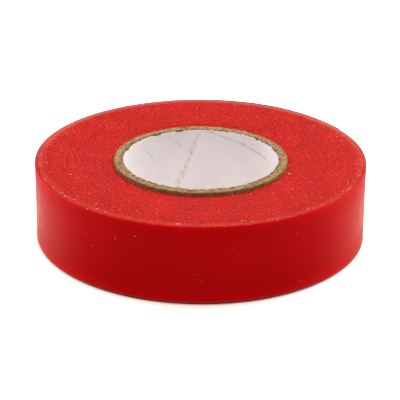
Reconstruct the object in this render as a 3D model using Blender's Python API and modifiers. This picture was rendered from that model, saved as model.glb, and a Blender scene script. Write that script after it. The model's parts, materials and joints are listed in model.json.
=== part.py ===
"""Roll of 19 mm vinyl electrical tape, lying flat on one face.

The origin is on the roll's axis in the plane the roll stands on, and +Z runs along that axis. A paperboard
core of four glued plies and a white liner carries the wound tape. The tape is a vinyl film with a coat of
adhesive on its inner side. Its outermost turn is modelled as the real strip: most of it stays on the roll, and
its free end is a chain of short arcs that peel off at one line and straighten.
"""

import math

import bmesh
import bpy
from mathutils import Vector

MM = 0.001

# Driving dimensions
ROLL_RADIUS = 40.0 * MM
TAPE_WIDTH = 19.2 * MM
CORE_OUTER_RADIUS = 21.2 * MM
BORE_RADIUS = 18.75 * MM
FILM_THICKNESS = 0.13 * MM
ADHESIVE_THICKNESS = 0.04 * MM
LINER_THICKNESS = 0.25 * MM
CORE_PLIES = 4

# The wound faces dip from a flat band at the rim to the core, which stands proud of them.
FACE_DIP = 0.85 * MM
FLAT_BAND = 3.4 * MM
CORE_FILLET = 1.2 * MM

# The free end: its arcs run clockwise, seen from above, from the line where the tape leaves the roll.
PEEL_LINE = 150
TAIL_SEGMENTS = 12
SEGMENT_ANGLE = 10
SEGMENT_GAP = 0.06 * MM

# Clearances between pieces that touch on the real roll
LAYER_GAP = 0.012 * MM
PLY_GAP = 0.04 * MM
RIM_CHAMFER = 0.25 * MM

# Facets
WALL_STEP = 2.5
CORE_STEPS = 72

RED_FILM = (0.42, 0.006, 0.006)
RED_EDGE = (0.55, 0.045, 0.035)
RED_ADHESIVE = (0.30, 0.012, 0.010)
KRAFT = (0.47, 0.29, 0.16)
LINER_WHITE = (0.72, 0.68, 0.65)


def clear_scene():
    for obj in list(bpy.data.objects):
        bpy.data.objects.remove(obj, do_unlink=True)


def new_collection(name):
    collection = bpy.data.collections.new(name)
    bpy.context.scene.collection.children.link(collection)
    return collection


def new_material(name, colour, roughness):
    material = bpy.data.materials.new(name)
    material.use_nodes = True
    shader = material.node_tree.nodes["Principled BSDF"]
    shader.inputs["Base Color"].default_value = (*colour, 1.0)
    shader.inputs["Roughness"].default_value = roughness
    shader.inputs["Metallic"].default_value = 0.0
    return material


def add_object(name, data, material, collection):
    obj = bpy.data.objects.new(name, data)
    data.materials.append(material)
    collection.objects.link(obj)
    return obj


def turned(name, profile, steps, material, collection):
    """A full ring: the closed (radius, height) profile, outer side first and top to bottom, spun about Z."""
    mesh = bpy.data.meshes.new(name)
    shape = bmesh.new()
    points = [shape.verts.new((radius, 0, height)) for radius, height in profile]
    for start, end in zip(points, points[1:] + points[:1]):
        shape.edges.new((start, end))
    shape.to_mesh(mesh)
    shape.free()
    obj = add_object(name, mesh, material, collection)
    screw = obj.modifiers.new("Spin", "SCREW")
    screw.steps = screw.render_steps = steps
    screw.use_merge_vertices = True
    screw.merge_threshold = 0.000001
    screw.use_smooth_shade = True
    return obj


def ring(name, inner, outer, steps, material, collection):
    """A plain ring of rectangular section, as tall as the tape is wide."""
    profile = [(outer, TAPE_WIDTH), (outer, 0), (inner, 0), (inner, TAPE_WIDTH)]
    return turned(name, profile, steps, material, collection)


def on_circle(radius, degrees):
    angle = math.radians(degrees)
    return Vector((radius * math.cos(angle), radius * math.sin(angle), 0))


def arc_strip(name, inner, outer, first, last, trim, material, collection, hinge=None):
    """A stretch of strip standing on edge: an outline of two arcs, extruded over the tape's width.

    trim is how far each end stops short of its angle. hinge is the parent empty on the joint's axis.
    """
    short = math.degrees(trim / outer) * (1 if last > first else -1)
    count = round(abs(last - first) / WALL_STEP)
    angles = [first + (last - first) * i / count for i in range(count + 1)]
    angles[0] += short
    angles[-1] -= short
    outline = [on_circle(outer, a) for a in angles] + [on_circle(inner, a) for a in reversed(angles)]
    curve = bpy.data.curves.new(name, "CURVE")
    curve.dimensions = "2D"
    curve.fill_mode = "BOTH"
    curve.extrude = TAPE_WIDTH / 2
    spline = curve.splines.new("POLY")
    spline.points.add(len(outline) - 1)
    at = hinge.location if hinge else Vector((0, 0, 0))
    for point, place in zip(spline.points, outline):
        point.co = (place.x - at.x, place.y - at.y, 0, 1)
    spline.use_cyclic_u = True
    obj = add_object(name, curve, material, collection)
    obj.location.z = TAPE_WIDTH / 2
    obj.parent = hinge
    return obj


def build_core(collection):
    """The liner and the board plies, from the bore outwards, with both ends cut flush with the rim."""
    paper = new_material("liner_paper", LINER_WHITE, 0.85)
    board = new_material("chipboard", KRAFT, 0.9)
    liner_outer = BORE_RADIUS + LINER_THICKNESS
    ring("core_liner", BORE_RADIUS, liner_outer, CORE_STEPS, paper, collection)
    pitch = (CORE_OUTER_RADIUS - liner_outer) / CORE_PLIES
    for i in range(CORE_PLIES):
        inner = liner_outer + i * pitch + PLY_GAP
        ring(f"core_ply_{i + 1}", inner, inner + pitch - PLY_GAP, CORE_STEPS, board, collection)


def build_wound_tape(outer, collection):
    """All the turns under the outermost one: dished faces, and a small chamfer at the rim's edges."""
    edge = new_material("wound_edge", RED_EDGE, 0.55)
    inner = CORE_OUTER_RADIUS + PLY_GAP
    flat = ROLL_RADIUS - FLAT_BAND
    upper = [
        (inner, TAPE_WIDTH - FACE_DIP),
        (inner + CORE_FILLET, TAPE_WIDTH - FACE_DIP * 0.86),
        ((inner + flat) / 2, TAPE_WIDTH - FACE_DIP * 0.30),
        (flat, TAPE_WIDTH),
        (outer - RIM_CHAMFER, TAPE_WIDTH),
        (outer, TAPE_WIDTH - RIM_CHAMFER),
    ]
    lower = [(radius, TAPE_WIDTH - height) for radius, height in reversed(upper)]
    steps = round(360 / WALL_STEP)
    turned("wound_tape", upper + lower, steps, edge, collection)


def build_outer_turn(collection, film_inner, coat):
    """The outermost turn's strip: the stretch that stays on the roll, then the free end's segments."""
    film = new_material("vinyl_film", RED_FILM, 0.25)
    adhesive = new_material("adhesive", RED_ADHESIVE, 0.4)
    layers = (("film", film_inner, ROLL_RADIUS, film), ("adhesive", coat[0], coat[1], adhesive))
    tail_end = PEEL_LINE - TAIL_SEGMENTS * SEGMENT_ANGLE
    trim = SEGMENT_GAP / 2
    for layer, inner, outer, material in layers:
        name = f"outer_turn_{layer}"
        arc_strip(name, inner, outer, PEEL_LINE, 360 + tail_end, trim, material, collection)
    for i in range(TAIL_SEGMENTS):
        start = PEEL_LINE - i * SEGMENT_ANGLE
        hinge = bpy.data.objects.new(f"tail_hinge_{i + 1:02d}", None)
        hinge.location = on_circle(ROLL_RADIUS, start)
        hinge.empty_display_size = TAPE_WIDTH / 4
        collection.objects.link(hinge)
        for layer, inner, outer, material in layers:
            name = f"tail_{layer}_{i + 1:02d}"
            end = start - SEGMENT_ANGLE
            arc_strip(name, inner, outer, start, end, trim, material, collection, hinge)


def main():
    clear_scene()
    collection = new_collection("electrical_tape_roll")
    film_inner = ROLL_RADIUS - FILM_THICKNESS
    coat_outer = film_inner - LAYER_GAP
    coat_inner = coat_outer - ADHESIVE_THICKNESS
    build_core(collection)
    build_wound_tape(coat_inner - LAYER_GAP, collection)
    build_outer_turn(collection, film_inner, (coat_inner, coat_outer))


main()
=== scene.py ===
"""Looks of the roll of red vinyl electrical tape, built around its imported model."""

import json
import math
import random

import bmesh
import bpy
import numpy as np
from mathutils import Matrix, Vector, noise


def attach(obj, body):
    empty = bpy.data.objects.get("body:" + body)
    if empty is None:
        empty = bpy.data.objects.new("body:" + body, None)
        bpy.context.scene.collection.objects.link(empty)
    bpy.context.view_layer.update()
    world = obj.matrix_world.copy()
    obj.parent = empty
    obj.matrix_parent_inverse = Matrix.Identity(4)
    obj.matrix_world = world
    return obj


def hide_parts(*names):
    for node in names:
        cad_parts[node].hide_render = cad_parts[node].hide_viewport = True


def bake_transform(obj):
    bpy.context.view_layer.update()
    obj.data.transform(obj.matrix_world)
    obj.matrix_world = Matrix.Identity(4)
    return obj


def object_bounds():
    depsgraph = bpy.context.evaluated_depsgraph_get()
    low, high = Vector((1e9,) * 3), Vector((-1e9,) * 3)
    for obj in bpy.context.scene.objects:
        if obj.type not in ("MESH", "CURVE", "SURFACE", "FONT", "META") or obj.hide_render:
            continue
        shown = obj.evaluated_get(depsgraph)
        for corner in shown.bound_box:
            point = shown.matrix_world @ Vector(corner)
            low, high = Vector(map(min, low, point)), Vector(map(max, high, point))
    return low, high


MM = 0.001
SEED = 7

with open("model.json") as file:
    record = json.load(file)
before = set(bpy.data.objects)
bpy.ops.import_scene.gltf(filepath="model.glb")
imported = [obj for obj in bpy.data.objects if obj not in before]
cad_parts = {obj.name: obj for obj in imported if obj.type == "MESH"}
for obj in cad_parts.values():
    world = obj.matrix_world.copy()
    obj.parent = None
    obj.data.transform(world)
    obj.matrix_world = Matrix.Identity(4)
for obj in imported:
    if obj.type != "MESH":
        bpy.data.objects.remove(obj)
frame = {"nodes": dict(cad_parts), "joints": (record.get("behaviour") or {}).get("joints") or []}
cad_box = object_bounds()


# ---- Sizes, read from the frame -------------------------------------------------------------------


def ring_radii(node):
    """The smallest and the largest distance of a node's points from the roll's axis."""
    reach = [math.hypot(v.co.x, v.co.y) for v in frame["nodes"][node].data.vertices]
    return min(reach), max(reach)


PLY_NODES = [f"core_ply_{i}" for i in range(1, 5)]
HEIGHT = cad_box[1].z
ROLL_RADIUS = ring_radii("outer_turn_film")[1]
BORE_RADIUS, LINER_OUTER = ring_radii("core_liner")
CORE_RADIUS = ring_radii("core_ply_4")[1]
FILM = ROLL_RADIUS - ring_radii("outer_turn_film")[0]
COAT = ring_radii("outer_turn_adhesive")[1] - ring_radii("outer_turn_adhesive")[0]
PACK_INNER = ring_radii("wound_tape")[0]

HINGES = [joint["pos_m"] for joint in frame["joints"]]
HINGE_ANGLES = [math.degrees(math.atan2(place[1], place[0])) for place in HINGES]
SEGMENT = HINGE_ANGLES[0] - HINGE_ANGLES[1]
PEEL_LINE = HINGE_ANGLES[0]
TAIL_END = HINGE_ANGLES[-1] - SEGMENT

# The tape itself: its real width, and the thickness of one turn in the winding
TAPE_WIDTH = HEIGHT - 0.2 * MM
TURN = 0.18 * MM
# How far the outermost turn stands off a perfect roll, everywhere, at its tip and at each hinge
WINDING_SLACK = 0.15 * MM
TIP_LIFT = 0.12 * MM
HINGE_RISE = 0.028 * MM
# The wound faces: their dip at the core, the width of their level band, and how far it lies below the top
FACE_DIP = 0.95 * MM
FLAT_BAND = 3.4 * MM
FACE_SINK = 0.08 * MM
LINER_PAPER = 0.12 * MM

# How fine the meshes are: columns round the roll, rows up the liner, and degrees per column of the strip
WOUND_COLUMNS = 132
PLY_COLUMNS = 540
LINER_COLUMNS = 1080
LINER_ROWS = 110
STRIP_STEP = 0.5

# How many bits are strewn about
FUZZ_TUFTS = 330
LARGE_CRUMBS = 30
FACE_CRUMBS = 380
LARGE_WALL_CRUMBS = 9
WALL_SPECKS = 26
STAR_HAIRS = 4
RIM_HAIRS = 16

# Colours
FILM_RED = (0.395, 0.0001, 0.0008)
FILM_CLOUD = (0.420, 0.0002, 0.0012)
# painted bounce light from the floor on the film's lowest few mm
FILM_FOOT_BOUNCE_LIGHT = (0.550, 0.0002, 0.0012)
# painted highlight along the film's top edge, in this and the next colour
FILM_SHOULDER_HIGHLIGHT = (0.475, 0.0006, 0.0010)
FILM_LIP_HIGHLIGHT = (0.560, 0.0030, 0.0020)
# painted highlight on the film just above its bottom edge
FILM_LOW_EDGE_HIGHLIGHT = (0.560, 0.045, 0.034)
# painted contact shadow, partly dirt, at the film's very bottom
FILM_CONTACT_SHADOW_AND_DIRT = (0.070, 0.008, 0.006)
CUT_DARK = (0.280, 0.0012, 0.0006)
CUT_LIGHT = (0.535, 0.0135, 0.0084)
CUT_SPARKLE = (0.80, 0.42, 0.35)
CUT_FROST = (0.50, 0.17, 0.12)
# the rim towards the back: partly dust, partly a painted backlit sheen
CUT_BACK_RIM_SHEEN_AND_DUST = (0.52, 0.26, 0.19)
CUT_DUST = (0.72, 0.40, 0.32)
COAT_DARK = (0.40, 0.008, 0.010)
COAT_LIGHT = (0.50, 0.020, 0.018)
BOARD_DARK = (0.200, 0.104, 0.038)
BOARD_LIGHT = (0.600, 0.395, 0.195)
BOARD_CLUMP = (0.150, 0.082, 0.036)
BOARD_SOOT = (0.060, 0.032, 0.016)
BOARD_PALE = (0.74, 0.57, 0.36)
# painted shade in dark patches along the board's torn inner edge
BOARD_EDGE_SHADE = (0.085, 0.046, 0.022)
# this and the next: the board's stain on its outer side and edge, darkened further as painted shade
BOARD_STAIN_AND_SHADE = (0.310, 0.155, 0.040)
BOARD_STAIN_AND_SHADE_DARK = (0.130, 0.064, 0.022)
PAPER_WHITE = (0.85, 0.785, 0.775)
PAPER_CLOUD = (0.89, 0.830, 0.825)
PAPER_MOTTLE = (0.78, 0.70, 0.66)
# painted shade along the liner's creases, with some grime
PAPER_CREASE_SHADE_AND_GRIME = (0.30, 0.26, 0.29)
PAPER_SEAM = (0.60, 0.43, 0.24)
PAPER_TORN = (0.86, 0.76, 0.60)
LINT_DARK = (0.80, 0.66, 0.58)
LINT_LIGHT = (0.93, 0.86, 0.80)
FLOOR_WHITE = (0.93, 0.93, 0.93)
# this and the next glow for the camera only, warm close to the roll and cool further out
FLOOR_WARM_GLOW = (0.42, 0.32, 0.26)
FLOOR_COOL_GLOW = (0.14, 0.24, 0.30)
FLOOR_UNDER = (0.90, 0.90, 0.90)
FLOOR_GLOSS_LEFT = (2.00, 1.80, 1.62)
FLOOR_GLOSS_RIGHT = (2.00, 1.70, 1.36)

# Lamps, in metres and watts: name, place, what it points at, size, power and spread in degrees
CENTRE = (0, 0, HEIGHT / 2)
LAMPS = (
    ("overhead", (0, 0, 1.1), CENTRE, (1.4, 1.2), 10.0, 180),
    ("behind", (0.20, 0.30, 0.46), CENTRE, (0.4, 0.3), 1.1, 180),
    ("left_wall", (-0.75, 0.65, 0.36), CENTRE, (1.0, 0.7), 5.2, 180),
    ("right_wall", (0.75, 0.65, 0.36), CENTRE, (1.0, 0.7), 5.4, 180),
    ("left_pool", (-0.19, 0, 0.35), (-0.19, 0, 0), (0.16, 0.30), 0.9, 30),
    ("right_pool", (0.19, 0, 0.35), (0.19, 0, 0), (0.16, 0.30), 1.0, 30),
)

# The camera: its lens in mm, distance and target in roll radii, and elevation and roll in degrees
LENS = 149.3
SENSOR = 36
DISTANCE = 10.183
TARGET = (-0.0030, 0, 0.1984)
ELEVATION = 24.01
CAMERA_ROLL = 0.44


# ---- Mesh and node helpers ------------------------------------------------------------------------


def add_mesh(name, points, faces, smooth_below=40):
    """A piece from a point list and faces, shaded smooth except across edges sharper than smooth_below."""
    mesh = bpy.data.meshes.new(name)
    mesh.from_pydata(np.asarray(points, float).tolist(), [], [tuple(f) for f in faces])
    mesh.validate()
    mesh.update()
    shape = bmesh.new()
    shape.from_mesh(mesh)
    bmesh.ops.recalc_face_normals(shape, faces=shape.faces)
    shape.to_mesh(mesh)
    shape.free()
    mesh.shade_smooth()
    mesh.set_sharp_from_angle(angle=math.radians(smooth_below))
    piece = bpy.data.objects.new(name, mesh)
    bpy.context.scene.collection.objects.link(piece)
    return piece


def grid_faces(rows, columns, close_rows, close_columns):
    """Quads over a rows x columns grid of points, numbered row by row."""
    row = np.arange(rows if close_rows else rows - 1)[:, None]
    column = np.arange(columns if close_columns else columns - 1)[None, :]
    next_row, next_column = (row + 1) % rows, (column + 1) % columns
    corners = (
        row * columns + column,
        next_row * columns + column,
        next_row * columns + next_column,
        row * columns + next_column,
    )
    return np.stack([c.ravel() for c in corners], axis=1).tolist()


def polar(radius, degrees, height):
    """Points at these radii, azimuths and heights. Each may be a number or an array."""
    angle = np.radians(degrees)
    return np.stack(np.broadcast_arrays(radius * np.cos(angle), radius * np.sin(angle), height), axis=-1)


def wander(degrees, rng, slowest, fastest):
    """A smooth random curve round the roll, about -1 to 1, made of whole waves per turn."""
    value = np.zeros_like(np.asarray(degrees, float))
    for waves in range(slowest, fastest + 1):
        value = value + rng.gauss(0, 1) * np.sin(np.radians(degrees) * waves + rng.uniform(0, math.tau))
    return value / math.sqrt(max(1, fastest - slowest + 1) / 2) * 0.5


def give(piece, body, material, slot, *nodes):
    """Sets a piece's material, the body it rides on, and the CAD nodes it stands for. slot is not used."""
    piece.data.materials.append(material)
    if body:
        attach(piece, body)
    if nodes:
        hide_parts(*nodes)
    return piece


class Shading:
    """A material's node tree, written as nested calls."""

    def __init__(self, name):
        self.material = bpy.data.materials.new(name)
        self.material.use_nodes = True
        self.tree = self.material.node_tree
        self.shader = self.tree.nodes["Principled BSDF"]
        self.place = self.add("ShaderNodeTexCoord").outputs["Object"]

    def add(self, kind, **settings):
        made = self.tree.nodes.new(kind)
        for key, value in settings.items():
            setattr(made, key, value)
        return made

    def put(self, socket, value):
        if isinstance(value, bpy.types.NodeSocket):
            self.tree.links.new(value, socket)
        else:
            socket.default_value = value

    def math(self, operation, first, second=0.0):
        made = self.add("ShaderNodeMath", operation=operation)
        self.put(made.inputs[0], first)
        self.put(made.inputs[1], second)
        return made.outputs[0]

    def noise(self, scale, detail=2.0, roughness=0.5, distortion=0.0):
        made = self.add("ShaderNodeTexNoise")
        self.put(made.inputs["Vector"], self.place)
        self.put(made.inputs["Scale"], scale)
        self.put(made.inputs["Detail"], detail)
        self.put(made.inputs["Roughness"], roughness)
        self.put(made.inputs["Distortion"], distortion)
        return made.outputs["Fac"]

    def line_noise(self, along, scale, detail):
        made = self.add("ShaderNodeTexNoise", noise_dimensions="1D")
        self.put(made.inputs["W"], along)
        self.put(made.inputs["Scale"], scale)
        self.put(made.inputs["Detail"], detail)
        return made.outputs["Fac"]

    def ramp(self, value, low, high, to_low=0.0, to_high=1.0):
        made = self.add("ShaderNodeMapRange", interpolation_type="SMOOTHSTEP")
        for key, number in (("Value", value), ("From Min", low), ("From Max", high),
                            ("To Min", to_low), ("To Max", to_high)):
            self.put(made.inputs[key], number)
        return made.outputs["Result"]

    def mix(self, share, first, second):
        made = self.add("ShaderNodeMix", data_type="RGBA")
        self.put(made.inputs["Factor"], share)
        for socket, colour in ((made.inputs[6], first), (made.inputs[7], second)):
            self.put(socket, colour if isinstance(colour, bpy.types.NodeSocket) else (*colour, 1.0))
        return made.outputs[2]

    def specks(self, scale, size, share):
        """1 inside small round specks. share is how many of the cells hold one."""
        made = self.add("ShaderNodeTexVoronoi")
        self.put(made.inputs["Vector"], self.place)
        self.put(made.inputs["Scale"], scale)
        chosen = self.add("ShaderNodeSeparateColor")
        self.put(chosen.inputs[0], made.outputs["Color"])
        near = self.ramp(made.outputs["Distance"], size * 1.25, size * 0.6)
        picked = self.math("LESS_THAN", chosen.outputs[0], share)
        return self.math("MULTIPLY", near, picked)

    def axes(self):
        """The point's own X, Y and Z."""
        apart = self.add("ShaderNodeSeparateXYZ")
        self.put(apart.inputs[0], self.place)
        return apart.outputs

    def radius(self):
        """The point's distance from the roll's axis."""
        x, y, _ = self.axes()
        return self.math("SQRT", self.math("ADD", self.math("POWER", x, 2.0), self.math("POWER", y, 2.0)))

    def attribute(self, name):
        return self.add("ShaderNodeAttribute", attribute_name=name).outputs["Fac"]

    def bump(self, height, strength, distance):
        made = self.add("ShaderNodeBump")
        made.inputs["Strength"].default_value = strength
        made.inputs["Distance"].default_value = distance
        self.put(made.inputs["Height"], height)
        self.put(self.shader.inputs["Normal"], made.outputs[0])

    def finish(self, colour, roughness, specular=0.5, ior=1.5):
        self.put(self.shader.inputs["Base Color"], colour)
        self.put(self.shader.inputs["Roughness"], roughness)
        self.shader.inputs["Specular IOR Level"].default_value = specular
        self.shader.inputs["IOR"].default_value = ior
        return self.material


# ---- Materials ------------------------------------------------------------------------------------


def vinyl_film():
    """Smooth film: an even deep red with a faint grain in its gloss, with painted bounce light towards its
    foot, a painted highlight along its top edge and another just above its bottom edge, and a painted
    contact shadow, partly dirt, along its very bottom.
    """
    s = Shading("vinyl_film")
    height = s.axes()[2]
    body = s.mix(s.ramp(s.noise(90, 3), 0.3, 0.7), FILM_RED, FILM_CLOUD)
    # painted bounce light: the film is lighter over its lowest 4 mm
    body = s.mix(s.ramp(height, 4.0 * MM, 0.7 * MM), body, FILM_FOOT_BOUNCE_LIGHT)
    # painted highlight: lighter towards the top edge, and lightest right at it
    body = s.mix(s.ramp(height, HEIGHT - 1.9 * MM, HEIGHT - 0.3 * MM), body, FILM_SHOULDER_HIGHLIGHT)
    body = s.mix(s.ramp(height, HEIGHT - 0.50 * MM, HEIGHT - 0.1 * MM), body, FILM_LIP_HIGHLIGHT)
    # painted highlight just above the bottom edge; the noise named worn only makes it patchy
    worn = s.ramp(s.noise(700, 3, 0.6), 0.35, 0.65, 0.45, 1.0)
    low_edge_highlight = s.math("MULTIPLY", s.ramp(height, 0.85 * MM, 0.45 * MM), worn)
    body = s.mix(low_edge_highlight, body, FILM_LOW_EDGE_HIGHLIGHT)
    # painted contact shadow, partly dirt: the bottom 0.4 mm darkens
    body = s.mix(s.ramp(height, 0.42 * MM, 0.30 * MM, 0.0, 0.85), body, FILM_CONTACT_SHADOW_AND_DIRT)
    s.bump(s.noise(700, 2, 0.6), 0.03, 0.02 * MM)
    return s.finish(body, s.ramp(s.noise(300, 3), 0.25, 0.75, 0.28, 0.35), 0.03, 1.45)


def cut_edges():
    """The slit edges of the turns: matt and fine-grained, frosted near the rim, and dusty, with the rim
    towards the back paler from dust and a painted backlit sheen.
    """
    s = Shading("cut_edges")
    radius = s.radius()
    rings = s.line_noise(radius, 4200, 3)
    bands = s.line_noise(radius, 1100, 2)
    blotch = s.noise(160, 4, 0.6)
    grain = s.noise(2700, 3, 0.8)
    tone = s.math("ADD", s.math("MULTIPLY", rings, 0.12), s.math("MULTIPLY", bands, 0.09))
    tone = s.math("ADD", tone, s.math("MULTIPLY", blotch, 0.18))
    tone = s.math("ADD", tone, s.math("MULTIPLY", grain, 0.61))
    colour = s.mix(s.ramp(tone, 0.40, 0.60), CUT_DARK, CUT_LIGHT)
    sparkle = s.ramp(s.noise(3300, 2, 0.8), 0.54, 0.78, 0.0, 0.24)
    colour = s.mix(sparkle, colour, CUT_SPARKLE)
    frost = s.ramp(radius, ROLL_RADIUS * 0.935, ROLL_RADIUS * 0.975)
    frost = s.math("MULTIPLY", frost, s.ramp(radius, ROLL_RADIUS * 0.990, ROLL_RADIUS * 0.980, 0.15, 1.0))
    patchy = s.ramp(s.noise(480, 4, 0.7), 0.34, 0.70)
    frost = s.math("MULTIPLY", frost, s.math("ADD", 0.06, s.math("MULTIPLY", patchy, 0.34)))
    colour = s.mix(s.math("MULTIPLY", frost, 0.5), colour, CUT_FROST)
    # the rim is paler and browner towards the back: partly dust, partly a painted backlit sheen
    towards_back = s.ramp(s.axes()[1], -0.3 * ROLL_RADIUS, 0.7 * ROLL_RADIUS)
    rim = s.math("MULTIPLY", towards_back, s.ramp(radius, ROLL_RADIUS * 0.960, ROLL_RADIUS * 0.988, 0.0, 0.32))
    colour = s.mix(rim, colour, CUT_BACK_RIM_SHEEN_AND_DUST)
    fine = s.specks(1700, 0.22, 0.14)
    coarse = s.specks(700, 0.15, 0.12)
    crowd = s.ramp(radius, ROLL_RADIUS * 0.86, ROLL_RADIUS, 0.45, 1.0)
    dust = s.math("MAXIMUM", s.math("MULTIPLY", fine, 0.60), s.math("MULTIPLY", coarse, 0.6))
    colour = s.mix(s.math("MULTIPLY", dust, crowd), colour, CUT_DUST)
    s.bump(s.math("ADD", s.math("MULTIPLY", rings, 0.5), grain), 0.4, 0.04 * MM)
    return s.finish(colour, s.ramp(blotch, 0.2, 0.8, 0.60, 0.74), 0.05, 1.45)


def adhesive_coat():
    """The tacky underside: the same red seen through a clear rubbery coat, with faint transfer marks."""
    s = Shading("adhesive_coat")
    marks = s.noise(260, 4, 0.6, distortion=0.6)
    colour = s.mix(s.ramp(marks, 0.35, 0.7), COAT_DARK, COAT_LIGHT)
    s.bump(s.noise(900, 3), 0.15, 0.03 * MM)
    return s.finish(colour, s.ramp(marks, 0.3, 0.7, 0.46, 0.62), 0.28, 1.47)


def chipboard():
    """Brown recycled board: matted fibres, flecks towards the bore with painted shade in dark patches along
    its torn inner edge, and an outer side and outer edge darker with stain and painted shade.
    """
    s = Shading("chipboard")
    radius = s.radius()
    fibres = s.noise(1300, 5, 0.75, distortion=1.2)
    clumps = s.noise(480, 4, 0.6)
    colour = s.mix(s.ramp(fibres, 0.36, 0.64), BOARD_DARK, BOARD_LIGHT)
    colour = s.mix(s.ramp(clumps, 0.52, 0.66, 0.0, 0.65), colour, BOARD_CLUMP)
    inward = s.ramp(radius, CORE_RADIUS - 0.5 * MM, LINER_OUTER + 0.2 * MM, 0.25, 1.0)
    soot = s.ramp(s.noise(1300, 4, 0.7), 0.52, 0.58)
    colour = s.mix(s.math("MULTIPLY", soot, s.math("MULTIPLY", inward, 0.85)), colour, BOARD_SOOT)
    colour = s.mix(s.math("MULTIPLY", s.specks(1250, 0.24, 0.18), 0.45), colour, BOARD_PALE)
    # dark patches along the torn inner edge by the liner: painted shade
    near_liner_edge = s.ramp(radius, BORE_RADIUS + 0.75 * MM, BORE_RADIUS + 0.45 * MM)
    edge_shade = s.math("MULTIPLY", s.ramp(s.noise(950, 3, 0.6), 0.46, 0.54, 0.0, 0.8), near_liner_edge)
    colour = s.mix(edge_shade, colour, BOARD_EDGE_SHADE)
    # upright faces and the worn outer edge are darker: partly the board's stain, partly painted shade
    facing = s.add("ShaderNodeSeparateXYZ")
    s.put(facing.inputs[0], s.add("ShaderNodeNewGeometry").outputs["True Normal"])
    upright = s.ramp(s.math("ABSOLUTE", facing.outputs[2]), 0.75, 0.25)
    outer_edge_shade = s.ramp(radius, CORE_RADIUS - 0.55 * MM, CORE_RADIUS - 0.15 * MM)
    side = s.math("MAXIMUM", outer_edge_shade, upright)
    stain_and_shade = s.mix(s.ramp(s.noise(1000, 4, 0.7), 0.38, 0.64), BOARD_STAIN_AND_SHADE, BOARD_STAIN_AND_SHADE_DARK)
    colour = s.mix(s.math("MULTIPLY", side, 0.78), colour, stain_and_shade)
    s.bump(s.math("ADD", fibres, clumps), 0.7, 0.14 * MM)
    return s.finish(colour, 0.92, 0.2)


def liner_paper():
    """White clay-coated paper, grey along its creases with painted shade and some grime, brown where the
    board shows at the seam.
    """
    s = Shading("liner_paper")
    cloud = s.ramp(s.noise(110, 3), 0.3, 0.7)
    colour = s.mix(cloud, PAPER_WHITE, PAPER_CLOUD)
    mottle = s.ramp(s.noise(900, 3, 0.6), 0.45, 0.75, 0.0, 0.25)
    colour = s.mix(mottle, colour, PAPER_MOTTLE)
    # grey along the creases: painted shade with some grime, and grime in the smudges
    colour = s.mix(s.math("MULTIPLY", s.attribute("crease"), 0.60), colour, PAPER_CREASE_SHADE_AND_GRIME)
    broken = s.ramp(s.noise(1300, 3, 0.6), 0.38, 0.62, 0.15, 1.0)
    seam = s.math("MULTIPLY", s.math("MULTIPLY", s.attribute("seam"), broken), 0.7)
    colour = s.mix(seam, colour, PAPER_SEAM)
    colour = s.mix(s.attribute("torn"), colour, PAPER_TORN)
    s.bump(s.noise(1400, 4, 0.6), 0.15, 0.03 * MM)
    return s.finish(colour, s.ramp(cloud, 0.0, 1.0, 0.62, 0.75), 0.3)


def lint():
    """Paper dust and short fibres, off-white."""
    s = Shading("lint")
    return s.finish(s.mix(s.noise(1500, 2), LINT_DARK, LINT_LIGHT), 0.8, 0.3)


# ---- The wound turns ------------------------------------------------------------------------------


def strip_radius(degrees):
    """Outer radius of the outermost turn. It falls by one thickness from the free end round to itself."""
    return ROLL_RADIUS + WINDING_SLACK + TURN * (0.5 - (degrees - TAIL_END) / 360)


def face_height(radius):
    """Height of the wound face: level near the rim, dished towards the core."""
    flat = ROLL_RADIUS - FLAT_BAND
    slope = np.clip((flat - radius) / (flat - PACK_INNER), 0, 1)
    return HEIGHT - FACE_SINK - FACE_DIP * slope**1.7


def wound_relief(radius, azimuth, rng):
    """Heights of one wound face: each turn stands a little off its neighbours, and all waver slowly."""
    rows, columns = radius.shape
    offsets = np.zeros((rows, columns))
    drift = 0.0
    for row in range(rows):
        drift = 0.80 * drift + rng.gauss(0, 0.002) * MM
        crown = 0.009 * MM if row % 2 else 0.0
        own = rng.gauss(0, 0.004) * MM if row % 2 else 0.0
        offsets[row] = crown + own + drift
    waver = 0.02 * MM * wander(azimuth, rng, 2, 6)
    return face_height(radius) + offsets + waver[None, :] * (radius / ROLL_RADIUS)


def wound_faces(rows, columns):
    """Faces over an upper and a lower grid of rows x columns, numbered from the core's row outwards."""
    count = rows * columns
    last = columns - 1
    faces = []
    for row in range(rows - 1):
        for column in range(last):
            a = row * columns + column
            b = a + columns
            faces.append((a, a + 1, b + 1, b))
            faces.append((count + a, count + b, count + b + 1, count + a + 1))
    for row in range(rows - 3):
        # the last column's rows join the first column's, which are one turn, or two rows, further in
        a, b = (row + 2) * columns + last, (row + 3) * columns + last
        c, d = row * columns, (row + 1) * columns
        faces.append((a, c, d, b))
        faces.append((count + a, count + b, count + d, count + c))
    for column in range(last):
        for row in (0, rows - 1):
            a = row * columns + column
            faces.append((a, a + 1, count + a + 1, count + a))
    joins = ((2 * columns + last, 0), ((rows - 1) * columns + last, (rows - 3) * columns))
    for a, c in joins:
        faces.append((a, c, count + c, count + a))
    inner_step = [row * columns + last for row in (0, 1, 2)]
    outer_step = [row * columns for row in (rows - 3, rows - 2, rows - 1)]
    for step in (inner_step, outer_step):
        faces.append((*step, *[count + a for a in reversed(step)]))
    return faces


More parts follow.
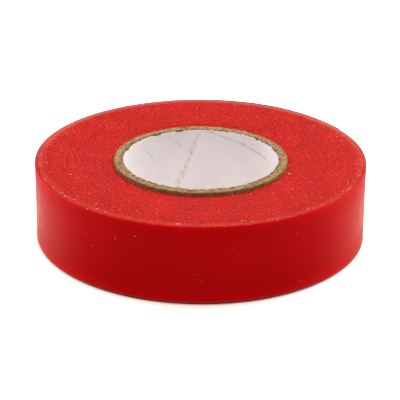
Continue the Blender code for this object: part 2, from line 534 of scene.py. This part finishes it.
def wound_turns(material, film):
    """Every turn under the outermost one, as one body whose faces carry the real spiral of edges.

    Column i is a half-section of the roll at its azimuth. Going once round, each turn lies one thickness
    further in, so the last column joins the first one a turn along, and a step is left at each end.
    """
    rng = random.Random(SEED)
    azimuth = TAIL_END + 360 * np.arange(WOUND_COLUMNS) / WOUND_COLUMNS
    turns = math.ceil((ROLL_RADIUS + WINDING_SLACK - CORE_RADIUS) / TURN)
    rows = 2 * turns + 1
    outer = strip_radius(azimuth) - TURN
    radius = outer[None, :] - TURN / 2 * np.arange(rows)[::-1, None]
    upper = wound_relief(radius, azimuth, rng)
    lower = np.maximum(HEIGHT - wound_relief(radius, azimuth, rng), 0.0)
    points = [polar(radius, azimuth[None, :], height).reshape(-1, 3) for height in (upper, lower)]
    piece = add_mesh("wound_turns", np.concatenate(points), wound_faces(rows, WOUND_COLUMNS), 50)
    piece.data.materials.append(material)
    give(piece, "roll", film, "wound_edge", "wound_tape")
    for face in piece.data.polygons:
        if abs(face.normal.z) < 0.2 and math.hypot(face.center.x, face.center.y) > ROLL_RADIUS - 3 * TURN:
            face.material_index = 1


# ---- The outermost turn ---------------------------------------------------------------------------


def strip_section(inner_offset, outer_offset, low, high, edge):
    """Section of a layer with rounded outer edges, as (distance in from the outer side, height) points."""
    middle, quarter = (high + low) / 2, (high - low) / 4
    return [
        (outer_offset + edge, high),
        (outer_offset + edge * 0.3, high - edge * 0.3),
        (outer_offset, high - edge),
        (outer_offset, middle + quarter),
        (outer_offset, middle),
        (outer_offset, middle - quarter),
        (outer_offset, low + edge),
        (outer_offset + edge * 0.3, low + edge * 0.3),
        (outer_offset + edge, low),
        (inner_offset, low),
        (inner_offset, middle),
        (inner_offset, high),
    ]


def hinge_ripple(azimuth):
    """Rise of the free end at its hinges. It straightens most there, so it starts more curved there."""
    low, high = TAIL_END + SEGMENT / 2, HINGE_ANGLES[2] + SEGMENT / 2
    t = (azimuth - low) / SEGMENT % 1
    return np.where((azimuth >= low) & (azimuth <= high), HINGE_RISE * 16 * (t * (1 - t)) ** 2, 0.0)


def strip_piece(name, first, last, section, edge_line):
    """A stretch of one layer of the outermost turn between two azimuths, capped at both ends."""
    columns = max(3, round(abs(last - first) / STRIP_STEP) + 1)
    azimuth = np.linspace(first, last, columns)
    depth = np.array([p[0] for p in section])
    level = np.array([p[1] for p in section])
    base = strip_radius(azimuth) + TIP_LIFT * np.exp(-(((azimuth - TAIL_END) / 1.5) ** 2))
    base += hinge_ripple(azimuth)
    radius = base[:, None] - depth[None, :]
    height = np.broadcast_to(level[None, :], radius.shape).copy()
    rim = np.clip((np.abs(height - HEIGHT / 2) - 0.42 * HEIGHT) / (0.08 * HEIGHT), 0, 1)
    height += rim * edge_line(azimuth)[:, None]
    points = polar(radius, azimuth[:, None], height).reshape(-1, 3)
    rows = len(section)
    faces = grid_faces(columns, rows, False, True)
    faces.append(tuple(range(rows)))
    faces.append(tuple(reversed(range((columns - 1) * rows, columns * rows))))
    return add_mesh(name, points, faces, 40)


def outermost_turn(film, adhesive):
    """The strip that stays on the roll, and the free end in pieces, one at each hinge."""
    rng = random.Random(SEED + 1)
    waves = [(k, rng.gauss(0, 1), rng.uniform(0, math.tau)) for k in range(2, 9)]

    def edge_line(degrees):
        return 0.02 * MM * sum(a * np.sin(np.radians(degrees) * k + b) for k, a, b in waves)

    low, high = HEIGHT - TAPE_WIDTH, HEIGHT
    coat_start = FILM + 0.004 * MM
    film_section = strip_section(FILM, 0, low, high, 0.05 * MM)
    coat_low, coat_high = low + 0.1 * MM, high - 0.1 * MM
    coat_section = strip_section(coat_start + COAT, coat_start, coat_low, coat_high, 0.01 * MM)
    layers = (
        ("film", film, "vinyl_film", film_section),
        ("adhesive", adhesive, "adhesive", coat_section),
    )
    half = SEGMENT / 2
    for layer, material, slot, section in layers:
        name = f"outer_turn_{layer}"
        piece = strip_piece(name + "_strip", PEEL_LINE, 360 + TAIL_END, section, edge_line)
        give(piece, "roll", material, slot, name)
        for i, (joint, start) in enumerate(zip(frame["joints"], HINGE_ANGLES)):
            # the first two hinges can open next to tape that stays down, so their pieces start at the hinge
            first = start if i < 2 else start + half
            last = start - SEGMENT if i == 0 else start - half
            piece = strip_piece(f"free_end_{layer}_{i + 1:02d}", first, last, section, edge_line)
            give(piece, None, material, slot, f"tail_{layer}_{i + 1:02d}")
            begin, end = (Vector(polar(ROLL_RADIUS, a, HEIGHT / 2)) for a in (first, start - half))
            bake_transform(piece)
        piece = strip_piece(f"free_end_{layer}_tip", TAIL_END + half, TAIL_END, section, edge_line)
        give(piece, frame["joints"][-1]["child"], material, slot, f"tail_{layer}_{len(HINGES):02d}")


# ---- The core -------------------------------------------------------------------------------------


def ply_section(inner, outer, worn):
    """Section of a ply, as (radius, height, on an end or not). worn is how far its outer corner is gone."""
    drops = ((0.0, 0.08 * MM), (0.14, 0.03 * MM), (0.38, 0.0), (0.62, 0.03 * MM), (0.86, worn * 0.35),
             (1.0, worn * 1.1))
    ends = [(outer - (1 - share) * (outer - inner), drop) for share, drop in drops]
    section = [(radius, HEIGHT - drop, True) for radius, drop in ends]
    section += [(outer, HEIGHT * (1 - k / 8), False) for k in range(1, 8)]
    section += [(radius, drop, True) for radius, drop in ends[::-1]]
    section += [(inner, HEIGHT * k / 4, False) for k in range(1, 4)]
    return section


def matted(radius, azimuth, height):
    """Fibrous relief of a ply's end along one circle: changes of height and of radius."""
    dip = np.zeros(len(azimuth))
    shift = np.zeros(len(azimuth))
    for column, degrees in enumerate(azimuth):
        spot = Vector(polar(radius, degrees, height))
        rough = noise.noise(spot * 1500) * 0.15 + noise.noise(spot * 600) * 0.14
        dip[column] = min(rough - 0.05, 0.0) * MM
        shift[column] = noise.noise(spot * 1900 + Vector((9, 0, 0))) * 0.06 * MM
    return (dip if height > HEIGHT / 2 else -dip), shift


def core_plies(material):
    """Board plies with torn, matted ends. The outermost one's corner is worn and it is not quite true."""
    azimuth = 360 * np.arange(PLY_COLUMNS) / PLY_COLUMNS
    untrue = np.array([noise.noise(Vector(polar(1.6, a, 0.0))) for a in azimuth]) * 0.12 * MM
    sunk_at_the_back = 0.28 * MM * np.clip(np.sin(np.radians(azimuth - 15)), 0, 1)
    for index, node in enumerate(PLY_NODES):
        inner, outer = ring_radii(node)
        if index == 0:
            inner = BORE_RADIUS + LINER_PAPER
        last = index == len(PLY_NODES) - 1
        section = ply_section(inner, outer, 0.20 * MM if last else 0.05 * MM)
        points = np.zeros((len(section), PLY_COLUMNS, 3))
        for row, (radius, height, at_end) in enumerate(section):
            dip, shift = matted(radius, azimuth, height) if at_end else (0.0, np.zeros(PLY_COLUMNS))
            if index == 0 and at_end and radius == inner:
                torn = [noise.noise(Vector(polar(radius * 800, a, height * 50))) for a in azimuth]
                shift = shift + 0.45 * MM * np.clip(np.array(torn), 0, 1)
            if last and radius > inner:
                drawn = untrue - 0.08 * MM
                if at_end:
                    drawn = drawn - sunk_at_the_back
                shift = shift * 0.4 + drawn * (radius - inner) / (outer - inner)
            points[row] = polar(np.clip(radius + shift, inner, outer), azimuth, height + dip)
        faces = grid_faces(len(section), PLY_COLUMNS, True, True)
        piece = add_mesh(node.replace("core_ply", "board_ply"), points.reshape(-1, 3), faces, 80)
        give(piece, "roll", material, "chipboard", node)


def board_fuzz(material):
    """Tufts torn up along the inner edge of the board's ends, over the edge of the liner."""
    rng = random.Random(SEED + 30)
    shape = bmesh.new()
    for _ in range(FUZZ_TUFTS):
        top = rng.random() < 0.6
        degrees = rng.uniform(0, 360)
        radius = BORE_RADIUS + LINER_PAPER + rng.gauss(0.0, 0.10) * MM
        # tufts on the underside stay clear of what the roll stands on
        level = rng.uniform(0.02, 0.16) * MM + (0 if top else 0.09 * MM)
        height = HEIGHT - level if top else level
        place = Vector(polar(max(radius, BORE_RADIUS + 0.06 * MM), degrees, height))
        size = min(rng.lognormvariate(math.log(0.16), 0.4), 0.32) * MM
        crumb(shape, place, Vector((0, 0, 1 if top else -1)), size, rng)
    finish_bits(shape, "board_fuzz", "roll", material, "chipboard")


# Creases in the liner: strength, width in mm, and start and end as (degrees round, mm up)
CREASES = (
    (0.8, 0.24, (85, 19), (25, 15)),
    (0.75, 0.13, (115, 18), (105, 15)),
    (0.75, 0.13, (140, 18), (130, 13)),
    (0.3, 0.12, (50, 18), (50, 16)),
)
SMUDGES = 5
# The seam slants by SEAM_SLOPE degrees for each mm down from its place at the top
SEAM_TOP, SEAM_SLOPE = 90, 1.2


def crease_path(start, end, rng):
    """A crease's wandering line, steepest at its start, as (degrees, mm) points."""
    steps = max(3, round(abs(end[0] - start[0]) / 6))
    path = [start]
    for k in range(1, steps + 1):
        share = k / steps
        degrees = start[0] + (end[0] - start[0]) * share
        level = start[1] + (end[1] - start[1]) * share**0.7
        path.append((degrees, level + rng.uniform(-0.25, 0.25)))
    return path


def seam_dabs(rng):
    """Where the seam is worn through, as (degrees, mm up, size in mm), from the top down."""
    top = HEIGHT / MM
    level = top - 2
    dabs = []
    while level > 1.5:
        degrees = SEAM_TOP + SEAM_SLOPE * (top - level) + rng.uniform(-0.6, 0.6)
        dabs.append((degrees, level, rng.uniform(0.3, 0.65)))
        level -= rng.uniform(0.8, 1.8) + (1.6 if rng.random() < 0.15 else 0)
    return dabs


def distance_to_path(azimuth, height, path):
    """Distance in metres, on the unrolled bore, from each point to a path of (degrees, mm) points."""
    arc = math.radians(1) * BORE_RADIUS
    spot = np.stack([azimuth * arc, height], axis=-1)
    best = np.full(azimuth.shape, 1.0)
    ends = [np.array((a * arc, z * MM)) for a, z in path]
    for start, end in zip(ends, ends[1:]):
        run = end - start
        share = np.clip(((spot - start) @ run) / (run @ run), 0, 1)
        best = np.minimum(best, np.linalg.norm(spot - start - share[..., None] * run, axis=-1))
    return best


def liner_edges(azimuth):
    """How far the paper stops short of the board at its upper and at its lower end."""
    edge = np.zeros((2, len(azimuth)))
    for side in range(2):
        for column, degrees in enumerate(azimuth):
            spot = Vector(polar(BORE_RADIUS, degrees, side * 0.1))
            rough = noise.noise(spot * 900) * 0.6 + noise.noise(spot * 2300) * 0.6
            nick = max(0.0, noise.noise(spot * 420 + Vector((3, 1, 5))) - 0.12)
            torn = 1 + 1.3 * math.exp(-(((degrees - 50) / 32) ** 2))
            edge[side, column] = 0.20 * MM + (rough * 0.18 + nick * 0.7) * torn * MM
    return np.clip(edge, 0.03 * MM, 0.9 * MM)


def liner_creases(across, height, azimuth):
    """Strength of the darkening along the creases, which is painted shade with some grime, and of the
    smudges, and how far the paper lifts along them.
    """
    spots = zip(across.ravel(), height.ravel())
    ragged = np.array([noise.noise(Vector((a * 0.5, z * 1800, 4))) for a, z in spots]).reshape(height.shape)
    slow = np.array([noise.noise(Vector((a * 0.13, 2.5, 7.0))) for a in azimuth])[None, :]
    broken = np.clip(0.62 + 0.9 * ragged + 0.9 * slow, 0.1, 1)
    crease = np.zeros(height.shape)
    lift = np.zeros(height.shape)
    rng = random.Random(SEED + 40)
    paths = [crease_path(start, end, rng) for _, _, start, end in CREASES]
    for (strength, width, _, _), path in zip(CREASES, paths):
        near = distance_to_path(across, height, path)
        crease = np.maximum(crease, np.exp(-((near / (width * MM)) ** 2)) * broken * strength)
        lift += strength * 0.09 * MM * np.exp(-((near / (0.45 * MM)) ** 2))
    for _ in range(SMUDGES):
        degrees, level = rng.choice(paths[0])
        size = rng.uniform(0.2, 0.45)
        near = distance_to_path(across, height, ((degrees, level), (degrees + 0.1, level)))
        crease = np.maximum(crease, 0.9 * np.exp(-((near / (size * MM)) ** 2)))
    # the paper above the long crease is crumpled
    above = np.clip((height - 15 * MM) / (1.2 * MM), 0, 1)
    crumpled = above * np.exp(-(((across - 60) / 25) ** 2))
    lift += 0.07 * MM * crumpled * np.abs(ragged) * 2
    # the crumpled paper is mottled darker as well: painted shade
    return np.maximum(crease, 0.35 * crumpled * np.clip(ragged * 2.2 - 0.35, 0, 1)), lift


def liner_seam(across, height):
    """How bare the seam is worn, and its distance in metres from each point."""
    seam = np.zeros(height.shape)
    for degrees, level, size in seam_dabs(random.Random(SEED + 41)):
        near = distance_to_path(across, height, ((degrees - 0.6, level + 0.5), (degrees + 0.6, level - 0.5)))
        seam = np.maximum(seam, np.exp(-((near / (1.15 * size * MM)) ** 2)))
    off_seam = np.abs(across - SEAM_TOP - SEAM_SLOPE * (HEIGHT - height) / MM)
    off_seam = off_seam * math.radians(1) * BORE_RADIUS
    return np.maximum(seam, 0.05 * np.exp(-((off_seam / (0.35 * MM)) ** 2))), off_seam


def liner(material):
    """The white paper on the bore: torn at both ends, creased, with a slanting seam worn through in dabs."""
    azimuth = 360 * np.arange(LINER_COLUMNS) / LINER_COLUMNS
    edge = liner_edges(azimuth)
    share = np.linspace(0, 1, LINER_ROWS)[:, None]
    height = (HEIGHT - edge[0]) * share + edge[1] * (1 - share)
    across = np.broadcast_to(azimuth[None, :], height.shape)
    crease, lift = liner_creases(across, height, azimuth)
    seam, off_seam = liner_seam(across, height)
    torn = 0.5 * np.exp(-(((HEIGHT - height - edge[0]) / (0.15 * MM)) ** 2))

    dent = 0.05 * MM * np.exp(-((off_seam / (0.10 * MM)) ** 2))
    bore = np.maximum(BORE_RADIUS + 0.02 * MM - lift + dent, BORE_RADIUS - 0.14 * MM)
    back = np.full(height.shape, BORE_RADIUS + LINER_PAPER - 0.01 * MM)
    # the front needs every row, and the back only its lowest and highest
    points = np.concatenate([polar(bore, across, height), polar(back, across, height)[::-1][[0, -1]]])
    faces = grid_faces(LINER_ROWS + 2, LINER_COLUMNS, True, True)
    piece = add_mesh("liner_sheet", points.reshape(-1, 3), faces, 60)
    for name, values in (("crease", crease), ("seam", seam), ("torn", torn)):
        whole = np.zeros((LINER_ROWS + 2, LINER_COLUMNS))
        whole[:LINER_ROWS] = values
        marks = piece.data.attributes.new(name, "FLOAT", "POINT")
        marks.data.foreach_set("value", whole.ravel().astype(np.float32))
    give(piece, "roll", material, "liner_paper", "core_liner")


# ---- Dust -----------------------------------------------------------------------------------------


def crumb(shape, place, outward, size, rng):
    """One crumb: the hull of a few random points, pressed flat on the surface it lies on."""
    turn = outward.to_track_quat("Z", "X").to_matrix()
    points = []
    for _ in range(10):
        spot = Vector((rng.gauss(0, 1), rng.gauss(0, 1), rng.gauss(0, 1))).normalized() * size / 2
        spot.x *= 1.25
        spot.z = spot.z * 0.45 + size * 0.08
        points.append(shape.verts.new(place + turn @ spot))
    bmesh.ops.convex_hull(shape, input=points)


def hair(shape, path, thickness):
    """A thin three-sided hair along a few points."""
    rings = []
    for i, place in enumerate(path):
        along = (path[min(i + 1, len(path) - 1)] - path[max(i - 1, 0)]).normalized()
        side = along.cross(Vector((0.3, 0.2, 0.9))).normalized()
        up = along.cross(side)
        taper = 0.35 if i in (0, len(path) - 1) else 1.0
        corners = [side, -side * 0.5 + up * 0.87, -side * 0.5 - up * 0.87]
        rings.append([shape.verts.new(place + c * thickness / 2 * taper) for c in corners])
    for a, b in zip(rings, rings[1:]):
        for k in range(3):
            shape.faces.new((a[k], a[(k + 1) % 3], b[(k + 1) % 3], b[k]))
    shape.faces.new(rings[0])
    shape.faces.new(reversed(rings[-1]))


def finish_bits(shape, name, body, material, slot):
    """Many small bits, gathered into one piece."""
    mesh = bpy.data.meshes.new(name)
    bmesh.ops.recalc_face_normals(shape, faces=shape.faces)
    shape.to_mesh(mesh)
    shape.free()
    piece = bpy.data.objects.new(name, mesh)
    bpy.context.scene.collection.objects.link(piece)
    give(piece, body, material, slot)


def on_face(radius, degrees):
    """A point just above the upper wound face."""
    return Vector(polar(radius, degrees, float(face_height(radius)) + 0.01 * MM))


def strewn_radius(rng):
    """A distance from the axis, often by the rim or at the core's foot."""
    zone = rng.random()
    if zone < 0.42:
        return ROLL_RADIUS - abs(rng.gauss(0, 1.6)) * MM - 0.35 * MM
    if zone < 0.62:
        return PACK_INNER + abs(rng.gauss(0, 0.9)) * MM + 0.15 * MM
    return math.sqrt(rng.uniform(PACK_INNER**2, ROLL_RADIUS**2 * 0.97))


def face_crumbs(shape, rng):
    """Crumbs strewn on the upper face: some larger ones, then many fine ones."""
    up = Vector((0, 0, 1))
    for _ in range(LARGE_CRUMBS):
        size = rng.uniform(0.15, 0.26) * MM
        crumb(shape, on_face(strewn_radius(rng), rng.uniform(0, 360)), up, size, rng)
    for _ in range(FACE_CRUMBS):
        size = min(rng.lognormvariate(math.log(0.062), 0.42), 0.16) * MM
        crumb(shape, on_face(strewn_radius(rng), rng.uniform(0, 360)), up, size, rng)


def wall_crumbs(shape, rng):
    """Crumbs stuck to the wall where the tape stays on the roll."""
    for k in range(LARGE_WALL_CRUMBS + WALL_SPECKS):
        degrees = rng.uniform(165, 385)
        wall = Vector(polar(strip_radius(degrees), degrees, rng.uniform(0.8, 18.4) * MM))
        size = rng.uniform(0.10, 0.18) if k < LARGE_WALL_CRUMBS else rng.uniform(0.05, 0.10)
        crumb(shape, wall, Vector((wall.x, wall.y, 0)), size * MM, rng)


def hairs(shape, rng):
    """A star of hairs on the upper face, loose hairs by the rim, and one on the wall."""
    up = Vector((0, 0, 1))
    middle = on_face(strewn_radius(rng), rng.uniform(180, 360)) + up * 0.08 * MM
    for k in range(STAR_HAIRS):
        lean = math.radians(k * 45 + 12)
        reach = Vector((math.cos(lean), math.sin(lean), 0)) * 0.42 * MM
        hair(shape, [middle - reach, middle + up * 0.05 * MM, middle + reach], 0.05 * MM)
    for _ in range(RIM_HAIRS):
        degrees, radius = rng.uniform(0, 360), ROLL_RADIUS - rng.uniform(0.6, 3.2) * MM
        bend, long = rng.uniform(-2, 2) * 0.1 * MM, rng.uniform(0.5, 1.1)
        path = [on_face(radius + bend * math.sin(t * 3), degrees + long * t) for t in (0, 0.5, 1.0, 1.5)]
        hair(shape, path, 0.05 * MM)
    degrees, level = rng.uniform(200, 340), rng.uniform(10, 17)
    wall = strip_radius(degrees) + 0.01 * MM
    drop = ((0.4, 0), (0.1, -0.5), (-0.1, -1.0), (-0.2, -1.6))
    hair(shape, [Vector(polar(wall, degrees + side, (level + down) * MM)) for side, down in drop], 0.02 * MM)


def dust(material):
    """Paper dust and short fibres on the upper face and the wall."""
    rng = random.Random(SEED + 60)
    shape = bmesh.new()
    face_crumbs(shape, rng)
    wall_crumbs(shape, rng)
    hairs(shape, rng)
    finish_bits(shape, "paper_dust", "roll", material, "chipboard")


# ---- Stage ----------------------------------------------------------------------------------------


def floor_paper():
    """White sweep that glows for the camera, with a warm rim and a wider cool one where that glow fades in
    by the roll, so a painted warm glow rings it; it also throws light up at the roll's sides.

    Gloss sees it bright at the sides and behind the roll, and dark in front of it and close to it.
    """
    s = Shading("floor_paper")
    s.tree.nodes.remove(s.shader)
    x, y, _ = s.axes()
    reach = s.add("ShaderNodeVectorMath", operation="LENGTH")
    s.put(reach.inputs[0], s.place)
    ray = s.add("ShaderNodeLightPath").outputs

    def fade(value, first, last, least=0.0):
        """Rises from least to 1 between two distances, both in roll radii."""
        return s.ramp(value, first * ROLL_RADIUS, last * ROLL_RADIUS, least)

    def product(*factors):
        value = factors[0]
        for factor in factors[1:]:
            value = s.math("MULTIPLY", value, factor)
        return value

    def glow(colour, strength):
        made = s.add("ShaderNodeEmission")
        s.put(made.inputs["Color"], colour if isinstance(colour, bpy.types.NodeSocket) else (*colour, 1))
        s.put(made.inputs["Strength"], strength)
        return made.outputs[0]

    seen = s.add("ShaderNodeBsdfDiffuse")
    seen.inputs["Color"].default_value = (*FLOOR_WHITE, 1)
    seen = seen.outputs[0]
    away = reach.outputs["Value"]
    beside = product(fade(y, -1.0, -0.3, 0.2), fade(y, 1.1, 0.2))
    near = product(ray["Is Diffuse Ray"], fade(away, 2.2, 1.3), fade(away, 0.97, 1.01))
    # painted glow seen only by the camera: warm fades in first by the roll and cool further out, so a warm
    # glow rings the roll
    glows = (
        (FLOOR_WARM_GLOW, product(ray["Is Camera Ray"], fade(away, 1.0, 1.03))),
        (FLOOR_COOL_GLOW, product(ray["Is Camera Ray"], fade(away, 1.0, 1.16))),
        (FLOOR_UNDER, product(near, beside)),
    )
    for colour, strength in glows:
        both = s.add("ShaderNodeAddShader")
        s.put(both.inputs[0], seen)
        s.put(both.inputs[1], glow(colour, strength))
        seen = both.outputs[0]

    side = s.mix(fade(x, -1.0, 1.0), FLOOR_GLOSS_LEFT, FLOOR_GLOSS_RIGHT)
    behind = product(fade(y, -0.95, -0.35), fade(away, 0.90, 1.20), fade(y, 1.0, 0.0, 0.60))
    blend = s.add("ShaderNodeMixShader")
    s.put(blend.inputs[0], ray["Is Glossy Ray"])
    s.put(blend.inputs[1], seen)
    s.put(blend.inputs[2], glow(side, behind))
    s.put(s.tree.nodes["Material Output"].inputs["Surface"], blend.outputs[0])
    return s.material


def stage():
    """The floor, which isn't part of the object."""
    floor_mesh = bpy.data.meshes.new("floor")
    shape = bmesh.new()
    bmesh.ops.create_grid(shape, x_segments=1, y_segments=1, size=3)
    shape.to_mesh(floor_mesh)
    shape.free()
    floor_mesh.materials.append(floor_paper())
    floor = bpy.data.objects.new("floor", floor_mesh)
    bpy.context.scene.collection.objects.link(floor)


def sky():
    """Soft white surroundings, dimmer on the camera's side."""
    world = bpy.data.worlds.new("studio")
    bpy.context.scene.world = world
    world.use_nodes = True
    tree = world.node_tree
    background = tree.nodes["Background"]
    background.inputs["Color"].default_value = (1.0, 0.995, 0.985, 1)
    toward = tree.nodes.new("ShaderNodeSeparateXYZ")
    tree.links.new(tree.nodes.new("ShaderNodeTexCoord").outputs["Generated"], toward.inputs[0])
    fade = tree.nodes.new("ShaderNodeMapRange")
    for key, number in (("From Min", -0.9), ("From Max", 0.3), ("To Min", 0.20), ("To Max", 0.58)):
        fade.inputs[key].default_value = number
    tree.links.new(toward.outputs[1], fade.inputs["Value"])
    tree.links.new(fade.outputs["Result"], background.inputs["Strength"])


def lamps():
    """A large soft light overhead, one behind, one for each side of the wall, and a pool on each side."""
    for name, place, target, size, power, spread in LAMPS:
        data = bpy.data.lights.new(name, "AREA")
        data.shape = "RECTANGLE"
        data.size, data.size_y = size
        data.energy = power
        data.spread = math.radians(spread)
        light = bpy.data.objects.new(name, data)
        light.location = place
        light.rotation_euler = (Vector(target) - Vector(place)).to_track_quat("-Z", "Y").to_euler()
        bpy.context.scene.collection.objects.link(light)


def camera():
    """Looks down at 24 degrees from ten radii away, with a long lens and a slight roll."""
    data = bpy.data.cameras.new("camera")
    data.sensor_width = SENSOR
    data.lens = LENS
    data.clip_start = 0.01
    eye = bpy.data.objects.new("camera", data)
    elevation = math.radians(ELEVATION)
    away = Vector((0, -math.cos(elevation), math.sin(elevation)))
    eye.location = Vector(TARGET) * ROLL_RADIUS + DISTANCE * ROLL_RADIUS * away
    level = (-away).to_track_quat("-Z", "Y").to_matrix()
    eye.rotation_euler = (level @ Matrix.Rotation(math.radians(CAMERA_ROLL), 3, "Z")).to_euler()
    bpy.context.scene.collection.objects.link(eye)
    bpy.context.scene.camera = eye


def main():
    """Builds every piece, then the stage around them."""
    film, adhesive = vinyl_film(), adhesive_coat()
    wound_turns(cut_edges(), film)
    outermost_turn(film, adhesive)
    board = chipboard()
    core_plies(board)
    board_fuzz(board)
    liner(liner_paper())
    dust(lint())
    stage()
    sky()
    lamps()
    camera()
    bpy.context.scene.view_settings.view_transform = "Standard"


main()
